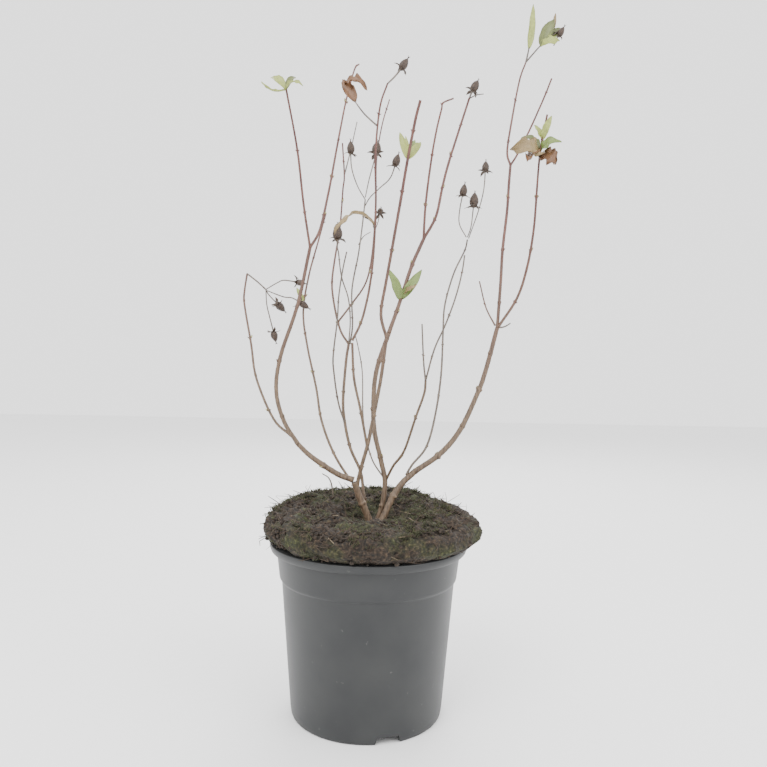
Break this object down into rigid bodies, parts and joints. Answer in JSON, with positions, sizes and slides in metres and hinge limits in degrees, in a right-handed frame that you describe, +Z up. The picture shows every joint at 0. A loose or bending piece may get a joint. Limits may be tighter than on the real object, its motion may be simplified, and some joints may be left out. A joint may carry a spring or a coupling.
{
  "type": "potted tall tutsan shrub",
  "caption": "Young tall tutsan shrub in late winter, with bare branching stems, dry seed capsules and a few leaves, in a round plastic nursery pot.",
  "frame": {"origin": "centre of the pot's flat underside, on the surface that it stands on", "axes": "+Z up, +X to the right as the picture shows the plant, +Y away from the viewer"},
  "size_m": [0.2786, 0.1915, 0.6298],
  "materials": {
    "pot": "satin",
    "root_ball": "matte",
    "bark": "matte",
    "capsule": "matte",
    "leaf": "matte"
  },
  "bodies": {
    "root": {"back_leader": "bark", "capsule_twig": "bark", "centre_left_stem": "bark", "front_leader": "bark", "grey_shoot": "bark", "grey_twig": "bark", "inner_left_shoot": "bark", "leaf_front_arc": "leaf", "leaf_front_upper": "leaf", "leaf_top_upright": "leaf", "leaves_left_leader_tip": "leaf", "leaves_main_left": "leaf", "leaves_main_right": "leaf", "leaves_middle_node_left": "leaf", "leaves_middle_node_right": "leaf", "leaves_outer_left": "leaf", "leaves_outer_right": "leaf", "leaves_top_right": "leaf", "left_bough": "bark", "left_bough_upper": "bark", "left_inner_leader": "bark", "left_leader": "bark", "left_seed_twig": "bark", "left_stump": "bark", "main_leader": "bark", "main_side_leader": "bark", "main_stem": "bark", "main_stem_upper": "bark", "middle_bough": "bark", "middle_leader": "bark", "middle_riser": "bark", "outer_left_shoot": "bark", "pot": "pot", "rear_leader": "bark", "right_bough": "bark", "right_cut_leader": "bark", "right_inner_bough": "bark", "right_inner_left": "bark", "right_inner_right": "bark", "right_inner_shoot": "bark", "right_outer_leader": "bark", "right_riser": "bark", "right_stump": "bark", "right_top_leader": "bark", "right_twig": "bark", "root_ball": "root_ball", "seed_head_crown_front": "capsule", "seed_head_grey_left": "capsule", "seed_head_grey_middle": "capsule", "seed_head_grey_right": "capsule", "seed_head_main_tip": "capsule", "seed_head_outer_inner": "capsule", "seed_head_outer_lower": "capsule", "seed_head_outer_right": "capsule", "seed_head_outer_upper": "capsule", "seed_head_right_back": "capsule", "seed_head_right_left": "capsule", "seed_head_right_middle": "capsule", "seed_head_twig_end": "capsule", "thin_left_shoot": "bark"}
  },
  "joints": []
}
